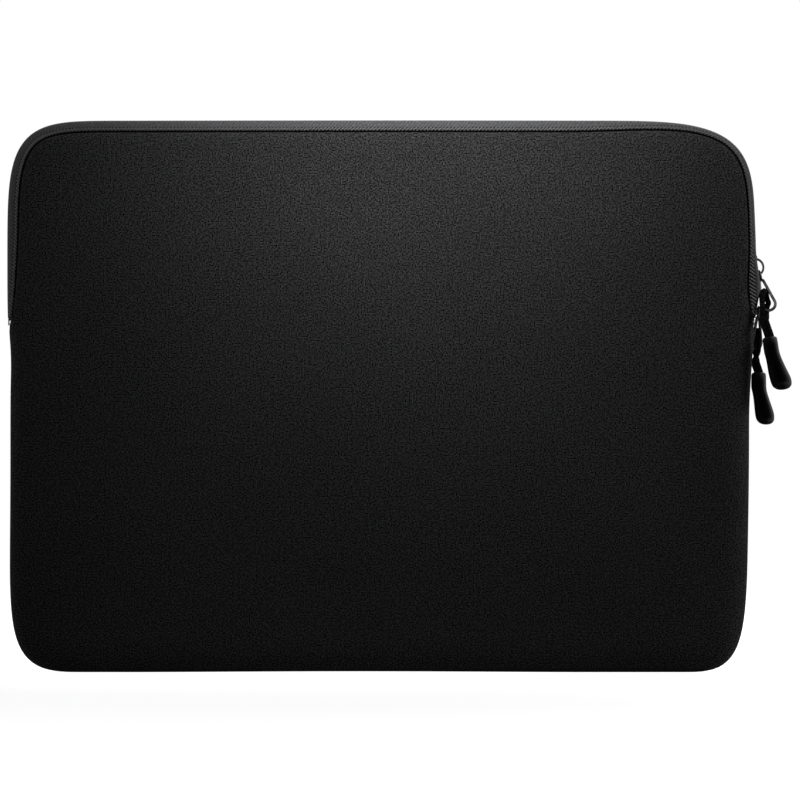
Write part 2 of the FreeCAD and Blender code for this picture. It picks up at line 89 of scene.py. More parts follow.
def outline():
    """The closed outline, counter-clockwise from the bottom right corner, with its sides' slight bends."""
    points = np.concatenate([
        corner("bottom_right", RIGHT, BOTTOM, 1, -1)[::-1],
        corner("top_right", RIGHT, TOP, 1, 1),
        corner("top_left", LEFT, TOP, -1, 1)[::-1],
        corner("bottom_left", LEFT, BOTTOM, -1, -1),
    ])
    points = resample(points, 2400, closed=True)
    x, z = points[:, 0], points[:, 1]
    right = x > 0
    drawn_in = np.where(
        right,
        0.7 * bump(z, 197, 16) - 2.4 * (1 - smooth((z - 118) / 52)) - 0.8 * (1 - smooth((z - 30) / 80)),
        0.5 * bump(z, 154, 16) + 1.3 * (1 - smooth((z - 142) / 28)) - 0.3 * (1 - smooth((z - 40) / 60)),
    )
    side_share = smooth((np.abs(x) - 100) / 60)
    lifted = 0.55 * bump(x, -10, 95) * (1 - smooth(z / 60)) + 0.2 * bump(x, 0, 120) * smooth((z - 200) / 50)
    return np.stack([x + drawn_in * side_share, np.maximum(z + lifted, 0.03)], 1)


def resample(points, count, closed=False):
    """The same line, as evenly spaced points."""
    if closed:
        points = np.concatenate([points, points[:1]])
    steps = np.linalg.norm(np.diff(points, axis=0), axis=1)
    along = np.concatenate([[0], np.cumsum(steps)])
    stops = np.linspace(0, along[-1], count + 1)[:-1] if closed else np.linspace(0, along[-1], count)
    return np.stack([np.interp(stops, along, points[:, k]) for k in range(points.shape[1])], 1)


def outward(points, closed=True):
    """The unit normals of a counter-clockwise line, smoothed over its neighbours."""
    if closed:
        ahead = np.roll(points, -2, 0) - np.roll(points, 2, 0)
    else:
        ahead = np.gradient(points, axis=0)
    ahead = ahead / np.linalg.norm(ahead, axis=1)[:, None]
    return np.stack([ahead[:, 1], -ahead[:, 0]], 1)


OUTLINE = outline()


def quartered():
    """The outline as ACROSS + UP + ACROSS + UP points, whose quarters start at the corners' middles."""
    picks = [
        int(np.argmax(OUTLINE @ np.array(way)))
        for way in ((-1, -1), (1, -1), (1, 1), (-1, 1))
    ]
    rolled = np.roll(OUTLINE, -picks[0], 0)
    picks = [(p - picks[0]) % len(OUTLINE) for p in picks] + [len(OUTLINE)]
    rolled = np.concatenate([rolled, rolled[:1]])
    parts = []
    for start, end, count in zip(picks, picks[1:], (ACROSS, UP, ACROSS, UP)):
        parts.append(resample(rolled[start:end + 1], count + 1)[:-1])
    return np.concatenate(parts)


def groove(points):
    """How far inside the outline the panel's edge lies along the zip, by place."""
    x, z = points[:, 0], points[:, 1]
    right_width = BAND - 2.15 * smooth((x - 85) / 80) + 0.5 * bump(z, 186, 14)
    rise = np.clip((z - ZIP_END + 1.5) / np.where(x > 0, 16, 42), 0.0005, 1)
    return np.where(x > 0, right_width, BAND) * rise ** 0.32


def zipped(points):
    """1 where the panel stops at the zip, 0 where it wraps round the edge."""
    return smooth((points[:, 1] - ZIP_END + 1) / 5)


def add_mesh(name, verts, faces, uvs=None, material=None, smooth_shade=True):
    mesh = bpy.data.meshes.new(name)
    mesh.from_pydata([tuple(v) for v in verts], [], [tuple(int(i) for i in f) for f in faces])
    mesh.update()
    if uvs is not None:
        layer = mesh.uv_layers.new(name="UVMap")
        index = np.zeros(len(mesh.loops), dtype=np.int32)
        mesh.loops.foreach_get("vertex_index", index)
        layer.data.foreach_set("uv", np.asarray(uvs, float)[index].astype(np.float32).ravel())
    if smooth_shade:
        mesh.polygons.foreach_set("use_smooth", [True] * len(mesh.polygons))
    piece = bpy.data.objects.new(name, mesh)
    scene.collection.objects.link(piece)
    if material:
        mesh.materials.append(material)
    return piece


def made_final(piece):
    """The piece with its modifiers applied."""
    graph = bpy.context.evaluated_depsgraph_get()
    mesh = bpy.data.meshes.new_from_object(
        piece.evaluated_get(graph), preserve_all_data_layers=True, depsgraph=graph
    )
    piece.modifiers.clear()
    piece.data = mesh
    return piece


# ---- materials

class Look:
    """A Principled material with its nodes."""

    def __init__(
        self, name, color, roughness,
        metallic=0.0, specular=0.5, sheen=0.0, sheen_tint=(1, 1, 1), coords="UV",
    ):
        self.material = bpy.data.materials.new(name)
        self.material.use_nodes = True
        self.tree = self.material.node_tree
        self.shader = self.tree.nodes["Principled BSDF"]
        self.color = color
        self.set(self.shader, "Base Color", (*color, 1))
        self.set(self.shader, "Roughness", roughness)
        self.set(self.shader, "Metallic", metallic)
        self.set(self.shader, "Specular IOR Level", specular)
        self.set(self.shader, "Sheen Weight", sheen)
        self.set(self.shader, "Sheen Roughness", 0.5)
        self.set(self.shader, "Sheen Tint", (*sheen_tint, 1))
        self.place = self.tree.nodes.new("ShaderNodeTexCoord").outputs[coords]
        self.set(self.shader, "Specular Tint", (0.35, 0.35, 0.35, 1) if metallic else (1, 1, 1, 1))
        self.last_bump = None

    def set(self, node, socket, value):
        node.inputs[socket].default_value = value

    def node(self, kind, inputs=None, **settings):
        made = self.tree.nodes.new(kind)
        for key, value in settings.items():
            setattr(made, key, value)
        for key, value in (inputs or {}).items():
            if isinstance(value, bpy.types.NodeSocket):
                self.tree.links.new(value, made.inputs[key])
            else:
                made.inputs[key].default_value = value
        return made

    def mapped(self, scale=(1, 1, 1), turn=0.0):
        made = self.node("ShaderNodeMapping", {"Vector": self.place, "Scale": scale, "Rotation": (0, 0, turn)})
        return made.outputs["Vector"]

    def noise(self, scale, detail=2.0, roughness=0.5, place=None, stretch=None):
        place = place or (self.mapped(stretch) if stretch else self.place)
        made = self.node("ShaderNodeTexNoise", {
            "Vector": place, "Scale": scale, "Detail": detail, "Roughness": roughness,
        })
        return made.outputs["Fac"]

    def wave(self, scale, place=None, distortion=0.0, direction="X"):
        inputs = {"Vector": place or self.place, "Scale": scale, "Distortion": distortion}
        made = self.node(
            "ShaderNodeTexWave", {**inputs, "Detail": 1.0, "Detail Scale": 2.0},
            wave_type="BANDS", bands_direction=direction, wave_profile="SIN",
        )
        return made.outputs["Fac"]

    def math(self, operation, a, b):
        made = self.node("ShaderNodeMath", operation=operation)
        for socket, value in zip(made.inputs, (a, b)):
            if isinstance(value, bpy.types.NodeSocket):
                self.tree.links.new(value, socket)
            else:
                socket.default_value = value
        return made.outputs[0]

    def ramp(self, value, low, high, dark, light):
        """dark where the value is at low, light where it is at high."""
        made = self.node("ShaderNodeMapRange", {
            "Value": value, "From Min": low, "From Max": high, "To Min": dark, "To Max": light,
        })
        return made.outputs[0]

    def tinted(self, factor):
        """The base colour, times the factor."""
        mixed = self.node("ShaderNodeVectorMath", operation="SCALE")
        mixed.inputs[0].default_value = self.color
        self.tree.links.new(factor, mixed.inputs["Scale"])
        self.tree.links.new(mixed.outputs[0], self.shader.inputs["Base Color"])

    def rough(self, value):
        self.tree.links.new(value, self.shader.inputs["Roughness"])

    def bump(self, height, distance, strength=1.0):
        made = self.node("ShaderNodeBump", {"Height": height, "Distance": distance, "Strength": strength})
        if self.last_bump:
            self.tree.links.new(self.last_bump, made.inputs["Normal"])
        self.last_bump = made.outputs["Normal"]
        self.tree.links.new(self.last_bump, self.shader.inputs["Normal"])


def shell_look():
    """Fine woven stretch cloth: threads both ways, flecks where threads stand up, and slight wear."""
    look = Look("shell_cloth", (0.0185, 0.0185, 0.019), 0.86, specular=0.01, sheen=0.01)
    warp = look.wave(820, direction="X", distortion=0.6)
    weft = look.wave(760, direction="Y", distortion=0.6)
    weave = look.math("MULTIPLY", warp, weft)
    flecks = look.noise(1500, 0.0, 0.6)
    slubs = look.noise(700, 1.0, 0.5, stretch=(1, 0.28, 1))
    broad = look.noise(9, 3.0, 0.55)
    shade = look.math("MULTIPLY", look.ramp(flecks, 0.3, 0.7, 0.1, 1.9), look.ramp(weave, 0, 1, 0.8, 1.22))
    shade = look.math("MULTIPLY", shade, look.ramp(slubs, 0.3, 0.7, 0.86, 1.16))
    look.tinted(look.math("MULTIPLY", shade, look.ramp(broad, 0.3, 0.7, 0.9, 1.1)))
    look.rough(look.ramp(flecks, 0.3, 0.7, 0.78, 0.94))
    look.bump(weave, 0.00012, 0.6)
    look.bump(flecks, 0.0001, 0.4)
    return look.material


def tape_look():
    """Zip tape in a fine twill, with painted shade where it turns into the groove and along the stitches beside
    it.
    """
    look = Look("zip_tape_cloth", (0.041, 0.041, 0.0425), 0.8, specular=0.05, sheen=0.03)
    ribs = look.wave(230, place=look.mapped((1, 1.0, 1), math.radians(38)), distortion=0.8)
    threads = look.wave(700, place=look.mapped((1, 1, 1), math.radians(-50)), distortion=0.8)
    flecks = look.noise(1000, 2.0, 0.6)
    across = look.node("ShaderNodeSeparateXYZ", {"Vector": look.place}).outputs["Y"]
    # Painted shade: the colour darkens over the tape's last 1.2 mm before the groove, and far more past it,
    # where shade falls into the groove.
    stitch_band_painted_shade = look.ramp(across, -0.0019, -0.0012, 1.0, 0.10)
    groove_painted_shade = look.ramp(across, 0.0, 0.0003, 1.0, 0.1)
    shade = look.math("MULTIPLY", look.ramp(ribs, 0.05, 0.8, 0.78, 1.12), look.ramp(flecks, 0.3, 0.7, 0.7, 1.3))
    shade = look.math("MULTIPLY", shade, look.ramp(threads, 0, 1, 0.9, 1.1))
    shade = look.math("MULTIPLY", shade, stitch_band_painted_shade)
    look.tinted(look.math("MULTIPLY", shade, groove_painted_shade))
    look.bump(ribs, 0.00015, 0.6)
    look.bump(threads, 0.00006, 0.5)
    return look.material


def thread_look(name, color, roughness=0.7):
    """Spun thread: a fine twist along it."""
    look = Look(name, color, roughness, specular=0.2, sheen=0.05, coords="Object")
    twist = look.noise(1800, 2.0, 0.6)
    look.tinted(look.ramp(twist, 0.3, 0.7, 0.7, 1.25))
    look.bump(twist, 0.00008, 0.5)
    return look.material


def lining_look():
    """Short plush pile, brushed in patches."""
    look = Look("plush", (0.060, 0.060, 0.064), 0.95, specular=0.06, sheen=0.25, sheen_tint=(0.8, 0.8, 0.85))
    pile = look.noise(1300, 3.0, 0.7)
    brushed = look.noise(24, 3.0, 0.6, stretch=(1, 0.4, 1))
    shade = look.math("MULTIPLY", look.ramp(pile, 0.3, 0.7, 0.6, 1.35), look.ramp(brushed, 0.35, 0.65, 0.8, 1.2))
    look.tinted(shade)
    look.bump(pile, 0.0004, 0.7)
    return look.material


def coil_look():
    look = Look("nylon_coil", (0.020, 0.020, 0.021), 0.4, specular=0.25, coords="Object")
    scuffs = look.noise(420, 3.0, 0.6)
    look.tinted(look.ramp(scuffs, 0.3, 0.7, 0.75, 1.3))
    look.rough(look.ramp(scuffs, 0.3, 0.7, 0.28, 0.5))
    return look.material


def metal_look(name, color, roughness):
    """Plated metal with polish marks, and brighter where the plating has rubbed."""
    look = Look(name, color, roughness, metallic=1.0, coords="Object")
    marks = look.noise(260, 4.0, 0.6, stretch=(1, 1, 5))
    plating_wear_and_grip_painted_light = look.noise(700, 2.0, 0.6)
    worn = look.ramp(plating_wear_and_grip_painted_light, 0.35, 0.7, 0.8, 1.3)
    look.tinted(look.math("MULTIPLY", worn, look.ramp(marks, 0.3, 0.7, 0.85, 1.15)))
    look.rough(look.ramp(marks, 0.3, 0.7, roughness - 0.08, roughness + 0.14))
    look.bump(marks, 0.00003, 0.5)
    return look.material


def cord_look():
    """Braided cord: crossing plaits round each strand."""
    look = Look("braided_cord", (0.0035, 0.0035, 0.0037), 0.7, specular=0.0, sheen=0.01)
    left = look.wave(160, place=look.mapped((1, 1, 1), math.radians(42)))
    right = look.wave(160, place=look.mapped((1, 1, 1), math.radians(-42)))
    plait = look.math("MAXIMUM", left, right)
    look.tinted(look.ramp(plait, 0.2, 1, 0.5, 1.5))
    look.bump(plait, 0.0002, 0.8)
    return look.material


def grip_look():
    """Moulded soft plastic with a fine spark texture, a painted lighter right side and rim, and painted shade in
    the hollow.
    """
    look = Look("grip_moulding", (0.0024, 0.0024, 0.0025), 0.36, specular=0.008)
    solid = look.node("ShaderNodeTexCoord").outputs["Object"]
    grain = look.noise(2400, 2.0, 0.5, place=solid)
    wear = look.noise(150, 3.0, 0.6, place=solid)
    hollow = look.node("ShaderNodeSeparateXYZ", {"Vector": look.place}).outputs["Y"]
    across = look.node("ShaderNodeSeparateXYZ", {"Vector": look.place}).outputs["X"]
    # Painted light and shade: the colour is lighter towards the grip's right side, where the lamp falls, lighter
    # on the raised rim and darker in the hollow, where shade falls.
    plating_wear_and_grip_painted_light = look.math("MULTIPLY", look.ramp(hollow, 0.0, 1.0, 3.0, 0.3), look.ramp(across, 0.1, 0.9, 0.5, 9.0))
    look.tinted(look.math("MULTIPLY", look.ramp(wear, 0.3, 0.7, 0.85, 1.2), plating_wear_and_grip_painted_light))
    look.rough(look.ramp(wear, 0.3, 0.7, 0.36, 0.52))
    look.bump(grain, 0.00004, 0.5)
    return look.material


SHELL = shell_look()
TAPE = tape_look()
STITCH = thread_look("whipping_thread", (0.055, 0.055, 0.057))
TACK = thread_look("tack_thread", (0.030, 0.030, 0.031))
BINDING = thread_look("binding_cloth", (0.026, 0.026, 0.027), 0.85)
LINING = lining_look()
COIL = coil_look()
SLIDER_METAL = metal_look("gunmetal", (0.040, 0.040, 0.042), 0.32)
RING_METAL = metal_look("ring_plating", (0.034, 0.034, 0.036), 0.27)
STOP_METAL = metal_look("blackened_crimp", (0.035, 0.035, 0.036), 0.4)
CORD = cord_look()
GRIP = grip_look()

# ---- padded panels

PANEL_LOW = [
    (14, 7.05), (9, 6.6), (6, 5.0), (4.3, 2.0), (4.0, 0.2), (2.0, 0.12), (0.5, 0.15), (0.05, 0.7),
    (0.0, 2.0), (0.35, 4.0), (1.3, 6.2), (3.0, 8.4), (5.6, 10.0), (9.2, 10.85), (14, 11.05),
]
PANEL_ZIPPED = [  # its inset is from the groove, apart from the first two and the last
    (14, 7.05), (12.6, 7.05), (4.0, 7.05), (2.6, 7.1), (2.0, 7.4), (1.8, 7.9), (1.2, 8.25), (0.5, 8.4),
    (0.1, 8.7), (0.1, 9.2), (0.6, 9.8), (1.6, 10.3), (3.4, 10.75), (6.5, 11.0), (14, 11.05),
]
LINING_LOW = [
    (14, 6.95), (9, 6.5), (6.2, 4.9), (4.5, 2.0), (4.2, 0.3), (4.6, 0.15), (4.9, 0.3), (5.1, 2.0),
    (6.8, 4.5), (9.5, 5.9), (14, 6.3),
]
LINING_ZIPPED = [
    (14, 6.95), (12.5, 6.95), (5.5, 6.9), (4.2, 6.85), (3.2, 6.7), (3.0, 6.6), (3.1, 6.45), (3.6, 6.35),
    (4.6, 6.3), (12.5, 6.3), (14, 6.3),
]


def patch(ring):
    """The inner points of a four-sided sheet stretched over a quartered ring."""
    bottom = ring[:ACROSS + 1]
    right = ring[ACROSS:ACROSS + UP + 1]
    top = ring[ACROSS + UP:2 * ACROSS + UP + 1][::-1]
    left = np.concatenate([ring[2 * ACROSS + UP:], ring[:1]])[::-1]
    u = np.linspace(0, 1, ACROSS + 1)[None, :, None]
    v = np.linspace(0, 1, UP + 1)[:, None, None]
    sheet = (1 - v) * bottom[None] + v * top[None] + (1 - u) * left[:, None] + u * right[:, None]
    sheet = sheet - (
        (1 - u) * (1 - v) * bottom[0] + u * (1 - v) * bottom[-1] + (1 - u) * v * top[0] + u * v * top[-1]
    )
    return sheet


def patch_faces(first_ring, first_inner, flip):
    """The faces of that sheet, whose border is a ring and whose inner points start at first_inner."""

    def index(row, column):
        if row == 0:
            return first_ring + column
        if column == ACROSS:
            return first_ring + ACROSS + row
        if row == UP:
            return first_ring + ACROSS + UP + (ACROSS - column)
        if column == 0:
            return first_ring + (RING - row) % RING
        return first_inner + (row - 1) * (ACROSS - 1) + column - 1

    faces = []
    for row in range(UP):
        for column in range(ACROSS):
            face = [
                index(row, column), index(row, column + 1),
                index(row + 1, column + 1), index(row + 1, column),
            ]
            faces.append(face[::-1] if flip else face)
    return faces


def layered(name, low, high, way, material, crown=0.0):
    """A closed layer that runs round the sleeve's edge: its section goes from the inside to the face."""
    points = quartered()
    normals = outward(points)
    width = groove(points)
    share = zipped(points)
    total = len(points)
    verts = []
    count = len(low)
    for k in range(count):
        from_groove = 0 if high[k][0] > 10 else 1
        inset = (1 - share) * low[k][0] + share * (high[k][0] + from_groove * width)
        depth = (1 - share) * low[k][1] + share * high[k][1]
        flat = points - normals * inset[:, None]
        verts.append(np.stack([flat[:, 0], way * depth, flat[:, 1]], 1))
    rings = list(verts)
    sheets = [patch(rings[0]), patch(rings[-1])]
    if crown:
        u = np.linspace(-1, 1, ACROSS + 1)[None, :]
        v = np.linspace(-1, 1, UP + 1)[:, None]
        swell = (1 - np.abs(u) ** 3) * (1 - np.abs(v) ** 3)
        sheets[1][:, :, 1] += way * crown * swell
    inner = [sheet[1:-1, 1:-1].reshape(-1, 3) for sheet in sheets]
    all_verts = np.concatenate(rings + inner)
    # Faces look outwards on the front half as written, and are turned over on the back half.
    flip = way > 0
    faces = []
    for k in range(count - 1):
        for i in range(total):
            j = (i + 1) % total
            face = [k * total + i, k * total + j, (k + 1) * total + j, (k + 1) * total + i]
            faces.append(face[::-1] if flip else face)
    first = count * total
    faces += patch_faces(0, first, not flip)
    faces += patch_faces((count - 1) * total, first + len(inner[0]), flip)
    uvs = all_verts[:, [0, 2]] * MM
    piece = add_mesh(name, all_verts * MM, faces, uvs, material)
    return piece, count * total + len(inner[0]), (count - FREE_RINGS) * total


def puffed(piece, face_first, edge_first):
    """Swells the panel's face as padded cloth under pressure, held at its edge and its inner side."""
    mesh = piece.data
    count = len(mesh.vertices)
    start = np.zeros(count * 3)
    mesh.vertices.foreach_get("co", start)
    start = start.reshape(-1, 3)
    rings_end = edge_first + FREE_RINGS * RING
    loose = np.zeros(count, bool)
    loose[face_first:] = True
    loose[edge_first + RING:rings_end] = True
    held = piece.vertex_groups.new(name="held")
    held.add([int(i) for i in np.where(~loose)[0]], 1.0, "REPLACE")
    cloth = piece.modifiers.new("padding", "CLOTH")
    settings = cloth.settings
    settings.vertex_group_mass = "held"
    settings.use_pressure = True
    settings.uniform_pressure_force = PUFF_PRESSURE
    settings.effector_weights.gravity = 0
    settings.quality = 4
    settings.tension_stiffness = 20
    settings.compression_stiffness = 20
    settings.bending_stiffness = 2
    cloth.point_cache.frame_start = 1
    cloth.point_cache.frame_end = PUFF_FRAMES
    for step in range(1, PUFF_FRAMES + 1):
        scene.frame_set(step)
    graph = bpy.context.evaluated_depsgraph_get()
    result = piece.evaluated_get(graph).data
    end = np.zeros(count * 3)
    result.vertices.foreach_get("co", end)
    end = end.reshape(-1, 3)
    piece.modifiers.clear()
    piece.vertex_groups.clear()
    scene.frame_set(1)
    move = end - start
    share = PUFF_SWELL / max(np.linalg.norm(move, axis=1).max(), PUFF_SWELL)
    mesh.vertices.foreach_set("co", (start + move * share).ravel())
    mesh.update()


def softened(piece, way, uneven):
    """One subdivision, then the slow unevenness of foam under cloth on the face, fading out round the edge."""
    division = piece.modifiers.new("division", "SUBSURF")
    division.levels = division.render_levels = 1
    made_final(piece)
    mesh = piece.data
    co = np.zeros(len(mesh.vertices) * 3)
    mesh.vertices.foreach_get("co", co)
    co = co.reshape(-1, 3)
    for row in co:
        face = min(1.0, max(0.0, (abs(row[1]) - 0.0095) / 0.0012))
        if face > 0:
            slow = noise.noise(Vector((row[0] * 14, way * 3, row[2] * 14)))
            quick = noise.noise(Vector((row[0] * 60, way * 7, row[2] * 60)))
            row[1] += way * face * uneven * (slow + 0.25 * quick)
    mesh.vertices.foreach_set("co", co.ravel())
    mesh.update()


def panel(name, way, replaced):
    piece, face_first, edge_first = layered(name, PANEL_LOW, PANEL_ZIPPED, way, SHELL, crown=0.5)
    puffed(piece, face_first, edge_first)
    softened(piece, way, 0.00030)
    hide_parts(*replaced)
    return piece


def fold(piece):
    """Bakes a front piece's placement into its mesh; it makes no bend."""
    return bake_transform(piece)


front_panel = panel("front_panel", -1, ["front_shell", "flap_shell", "front_foam", "flap_foam"])
fold(front_panel)
back_panel = panel("back_panel", 1, ["back_shell", "back_foam"])
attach(back_panel, "sleeve")

front_lining = layered("front_plush_lining", LINING_LOW, LINING_ZIPPED, -1, LINING)[0]
back_lining = layered("back_plush_lining", LINING_LOW, LINING_ZIPPED, 1, LINING)[0]
for piece, way, replaced in (
    (front_lining, -1, ["front_lining", "flap_lining"]),
    (back_lining, 1, ["back_lining"]),
):
    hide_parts(*replaced)
fold(front_lining)
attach(back_lining, "sleeve")

# ---- the zip's band

zip_run = OUTLINE[OUTLINE[:, 1] > ZIP_END - 4]
start_at = int(np.argmax(np.linalg.norm(np.diff(zip_run, axis=0), axis=1))) + 1
if np.linalg.norm(zip_run[0] - zip_run[-1]) > 100:
    start_at = 0
zip_run = np.roll(zip_run, -start_at, 0)
ZIP_LENGTH = float(np.sum(np.linalg.norm(np.diff(zip_run, axis=0), axis=1)))


def along_zip(pitch, shift=0.0, low=ZIP_END):
    """Evenly spaced places along the zip: point, outward normal, forward direction, groove width."""
    count = int(ZIP_LENGTH / pitch)
    line = resample(zip_run, count)
    line = line + shift * np.concatenate([np.diff(line, axis=0), np.zeros((1, 2))])
    out = outward(line, closed=False)
    ahead = np.stack([-out[:, 1], out[:, 0]], 1)
    keep = line[:, 1] > low
    return line[keep], out[keep], ahead[keep], groove(line)[keep]


def flare(points, depth, inset, width):
    """How far the tape stands out in front of the parked sliders; at the groove it stays."""
    near = 2.6 * bump(points[:, 1], 181.5, 11.5) * (points[:, 0] > 100)
    return near * smooth((depth - 4.4) / 1.3) * smooth(1.7 * (1 - inset / (width - GAP)))


def tape_depth(inset, width):
    """The depth of the tape's outer face at an inset from its crown."""
    width = np.maximum(width, TAPE_LEAST) - GAP
    turn = np.arccos(np.clip(1 - inset / width, -1, 1))
    return TAPE_SIDE + TAPE_TURN * np.sin(turn)


def zip_tape(name, way):
    line, out, ahead, width = along_zip(1.6)
    width = np.maximum(width, TAPE_LEAST)
    section = [(np.full_like(width, a), np.full_like(width, b)) for a, b in ((0.9, 3.15), (0.35, 3.0))]
    for turn in (3, 8, 14, 21, 28, 37, 47, 58, 70, 80, 90):
        a = math.radians(turn)
        depth = np.full_like(width, TAPE_SIDE + TAPE_TURN * math.sin(a))
        section.append(((width - GAP) * (1 - math.cos(a)), depth))
    section += [(width - GAP + a, np.full_like(width, b)) for a, b in (
        (0.15, 8.1), (0.25, 7.5), (0.6, 7.3), (GAP + 1.3, 7.4), (GAP + 1.4, 7.1), (GAP + 0.2, 6.9),
    )]
    for turn in (65, 40, 20):
        a = math.radians(turn)
        depth = np.full_like(width, TAPE_SIDE + 3.9 * math.sin(a))
        section.append((width - (width - 0.8) * math.cos(a), depth))
    rings = []
    for inset, depth in section:
        flat = line - out * inset[:, None]
        flat[:, 0] += flare(line, depth, inset, width)
        rings.append(np.stack([flat[:, 0], way * depth, flat[:, 1]], 1))
    rings = np.stack(rings, 1)
    total, sides = rings.shape[:2]
    faces = []
    for i in range(total - 1):
        for k in range(sides):
            n = (k + 1) % sides
            face = [i * sides + k, (i + 1) * sides + k, (i + 1) * sides + n, i * sides + n]
            faces.append(face if way < 0 else face[::-1])
    faces.append(list(range(sides))[::-1 if way > 0 else 1])
    faces.append([(total - 1) * sides + k for k in range(sides)][::-1 if way < 0 else 1])
    from_groove = np.stack([inset - width + GAP for inset, depth in section], 1)
    # The tape's inner side is placed past the groove here, so it takes the material's deepest painted groove
    # shade.
    from_groove[:, -4:] = 3.0
    u = np.linspace(0, ZIP_LENGTH, total) * MM
    uvs = np.stack([np.repeat(u, sides), from_groove.ravel() * MM], 1)
    return add_mesh(name, rings.reshape(-1, 3) * MM, faces, uvs, TAPE)


def capsules(name, starts, ends, radius, material, sides=6, bow=None):
    """Many small round-ended bars as one piece; bow bulges their middles."""
    profile = [(0.0, 0.35), (0.06, 0.8), (0.25, 1.0), (0.5, 1.05), (0.75, 1.0), (0.94, 0.8), (1.0, 0.35)]
    verts, faces = [], []
    for index, (a, b) in enumerate(zip(starts, ends)):
        axis = Vector(b) - Vector(a)
        side = axis.orthogonal().normalized()
        other = axis.normalized().cross(side)
        first = len(verts)
        for t, share in profile:
            centre = Vector(a) + axis * t
            if bow is not None:
                centre = centre + Vector(bow[index]) * (4 * t * (1 - t))
            for s in range(sides):
                turn = 2 * math.pi * s / sides
                verts.append(centre + (side * math.cos(turn) + other * math.sin(turn)) * radius * share)
        for r in range(len(profile) - 1):
            for s in range(sides):
                n = (s + 1) % sides
                faces.append([first + r * sides + s, first + r * sides + n,
                              first + (r + 1) * sides + n, first + (r + 1) * sides + s])
        faces.append([first + s for s in range(sides)][::-1])
        faces.append([first + (len(profile) - 1) * sides + s for s in range(sides)])
    return add_mesh(name, verts, faces, None, material)


def in_space(line, out, inset, depth, way):
    inset = np.asarray(inset)
    flat = line - out * inset[:, None]
    flat[:, 0] += flare(line, np.asarray(depth), inset, np.maximum(groove(line), TAPE_LEAST))
    return np.stack([flat[:, 0], way * np.asarray(depth), flat[:, 1]], 1) * MM


def whipping(name, way):
    """The slanted stitches that bind the tape to the panel along the groove."""
    line, out, ahead, width = along_zip(1.7, low=ZIP_END + 2)
    wide = np.maximum(width, 1.0)
    near = wide - 0.85
    far = np.maximum(wide - 2.1, wide * 0.35)
    starts = in_space(line + ahead * 1.7, out, near, tape_depth(near, width) - 0.05, way)
    ends = in_space(line - ahead * 0.4, out, far, tape_depth(far, width) + 0.12, way)
    return capsules(name, starts, ends, 0.42 * MM, STITCH)


def coil(name, way, shift):
    """The coil's turns, which meet the other half's in the middle, and lie apart where the sliders run."""
    line, out, ahead, width = along_zip(1.5, shift, low=ZIP_END + 3)
    apart = (line[:, 0] > 0) & (line[:, 1] < 223)
    reach = np.where(apart, 1.5, -0.45)
    flat = np.where(apart, 1.8, 0.95)
    starts = in_space(line, out, flat, np.full(len(line), 3.25), way)
    ends = in_space(line, out, flat, reach, way)
    bow = np.stack([out[:, 0], 0 * out[:, 0], out[:, 1]], 1) * np.where(apart, 0, 0.28)[:, None] * MM
    return capsules(name, starts, ends, 0.52 * MM, COIL, bow=bow)


def binding(name, way):
    """The folded tape over the inner seam."""
    line, out, ahead, width = along_zip(3.0)
    width = np.maximum(width, TAPE_LEAST)
    section = [
        (0.1, 7.5), (-0.1, 6.9), (0.2, 6.4), (1.0, 6.2), (1.8, 6.3), (2.2, 6.8), (2.1, 7.3), (1.2, 7.55),
    ]
    rings = np.stack([in_space(line, out, width + a, np.full(len(line), b), way) for a, b in section], 1)
    total, sides = rings.shape[:2]
    faces = []
    for i in range(total - 1):
        for k in range(sides):
            n = (k + 1) % sides
            face = [i * sides + k, i * sides + n, (i + 1) * sides + n, (i + 1) * sides + k]
            faces.append(face if way < 0 else face[::-1])
    faces.append(list(range(sides)))
    faces.append([(total - 1) * sides + k for k in range(sides)])
    return add_mesh(name, rings.reshape(-1, 3), faces, None, BINDING)


def front_and_back(maker, names, slot_name, front_nodes, back_nodes, *extra):
    """The piece's front half, whose placement is baked into its mesh, and its back half, which is attached to
    the sleeve.
    """
    for name, way, replaced in ((names[0], -1, front_nodes), (names[1], 1, back_nodes)):
        piece = maker(name, way, *(e[0 if way < 0 else 1] for e in extra))
        if replaced:
            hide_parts(*replaced)
        if way < 0:
            fold(piece)
        else:
            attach(piece, "sleeve")


front_and_back(zip_tape, ("front_tape", "back_tape"), "zip_tape",
               ["flap_zip_tape", "left_zip_tape", "right_zip_tape"], ["back_zip_tape"])
front_and_back(whipping, ("front_whipping", "back_whipping"), "zip_tape", [], [])
front_and_back(coil, ("front_coil", "back_coil"), "zip_coil",
               ["flap_zip_coil", "left_zip_coil", "right_zip_coil"], ["back_zip_coil"], (0.0, 0.5))
front_and_back(binding, ("front_binding", "back_binding"), "seam_binding",
               ["flap_zip_binding", "left_zip_binding", "right_zip_binding"], ["back_zip_binding"])


def end_tack(name, x, out):
    """The dense little row of stitches across each end of the zip."""
    starts, ends = [], []
    for row in range(5):
        z = ZIP_END - 2.2 + 0.62 * row
        starts.append(Vector((x - out * 0.35, -3.4 + 0.25 * (row % 2), z)) * MM)
        ends.append(Vector((x - out * 0.35, 1.4 - 0.25 * (row % 2), z + 0.2)) * MM)
    piece = capsules(name, starts, ends, 0.3 * MM, TACK, bow=[(out * 0.25 * MM, 0, 0)] * 5)
    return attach(piece, "sleeve")


def stop_crimp(name, x, out, replaced):
    """The little staple pressed round the coil's end."""
    places = [Vector((x - out * (0.75 + 0.1 * k), 0, ZIP_END + 0.4 + 0.95 * k)) * MM for k in (0, 1)]
    half = Vector((0, 1.7, 0)) * MM
    piece = capsules(
        name, [p - half for p in places], [p + half for p in places], 0.62 * MM, STOP_METAL,
        sides=12, bow=[(out * 0.35 * MM, 0, 0)] * 2,
    )
    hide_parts(replaced)
    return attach(piece, "sleeve")


